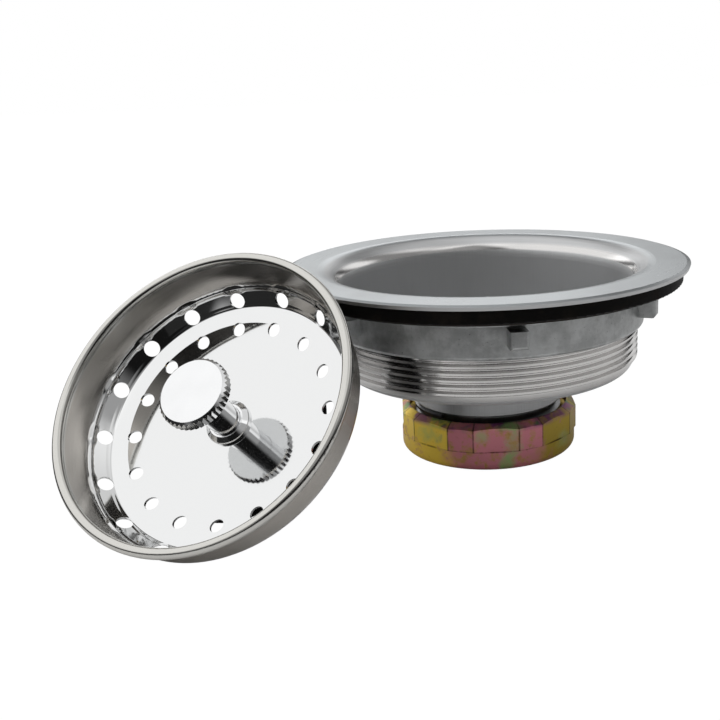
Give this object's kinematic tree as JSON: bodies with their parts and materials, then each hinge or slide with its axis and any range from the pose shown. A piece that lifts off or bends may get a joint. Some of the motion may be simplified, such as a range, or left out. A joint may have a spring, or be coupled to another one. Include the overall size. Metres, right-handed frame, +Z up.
{
  "type": "sink strainer",
  "caption": "Kitchen sink strainer: flanged steel cup with clamp rings, locknut, outlet neck and coupling nut, and a lift-out perforated basket with a sliding stopper.",
  "frame": {"origin": "on the strainer's axis, at the mouth of the coupling nut, which is the level it stands on", "axes": "+Z up along the strainer's axis, +Y away from the person facing it, +X to that person's right; the basket leans on the flange at the front left"},
  "size_m": [0.1666, 0.1467, 0.0649],
  "materials": {
    "satin_steel": "satin brushed stainless steel",
    "neck_steel": "brushed steel",
    "polished_steel": "polished stainless steel, satin on the wall",
    "black_rubber": "matt black rubber",
    "fibre": "dark pressed fibre",
    "cast_zinc": "raw die-cast zinc, mottled grey",
    "white_nylon": "natural nylon",
    "yellow_zinc": "yellow zinc plating with pink and green bloom",
    "chrome": "bright plated"
  },
  "bodies": {
    "strainer_body": {"strainer_cup": "satin_steel", "outlet_neck": "neck_steel", "cross_bar": "neck_steel"},
    "clamp_rings": {"flange_gasket": "black_rubber", "friction_ring": "fibre"},
    "locknut_body": {"locknut": "cast_zinc"},
    "washer_body": {"tailpiece_washer": "white_nylon"},
    "coupling_nut_body": {"coupling_nut": "yellow_zinc"},
    "basket": {"basket_shell": "polished_steel", "stem_bushing": "chrome", "stem_grip_ring": "black_rubber", "bushing_nut": "chrome"},
    "stopper": {"knob": "chrome", "stem": "chrome", "stopper_plate": "polished_steel", "stopper_seal": "black_rubber", "stopper_washer": "polished_steel", "stopper_nut": "polished_steel"}
  },
  "joints": [
    {"name": "locknut_travel", "type": "slide", "parent": "strainer_body", "child": "clamp_rings", "axis": [0, 0, -1], "range_m": [0, 0.0091]},
    {"name": "locknut_turn", "type": "hinge", "parent": "clamp_rings", "child": "locknut_body", "pos_m": [0, 0, 0.0427], "axis": [0, 0, -1], "range_deg": [0, 1800]},
    {"name": "coupling_nut_travel", "type": "slide", "parent": "strainer_body", "child": "washer_body", "axis": [0, 0, -1], "range_m": [0, 0.00665]},
    {"name": "coupling_nut_turn", "type": "hinge", "parent": "washer_body", "child": "coupling_nut_body", "pos_m": [0, 0, 0.0067], "axis": [0, 0, -1], "range_deg": [0, 1080]},
    {"name": "basket_lift", "type": "slide", "parent": "strainer_body", "child": "basket", "axis": [-0.2864, -0.6704, 0.6845], "range_m": [0, 0.12]},
    {"name": "stopper_push", "type": "slide", "parent": "basket", "child": "stopper", "axis": [0.2864, 0.6704, -0.6845], "range_m": [0, 0.008]}
  ],
  "couplings": [
    {"joint": "locknut_travel", "follows": "locknut_turn", "m_per_rad": 0.00028875},
    {"joint": "coupling_nut_travel", "follows": "coupling_nut_turn", "m_per_rad": 0.00035152}
  ]
}
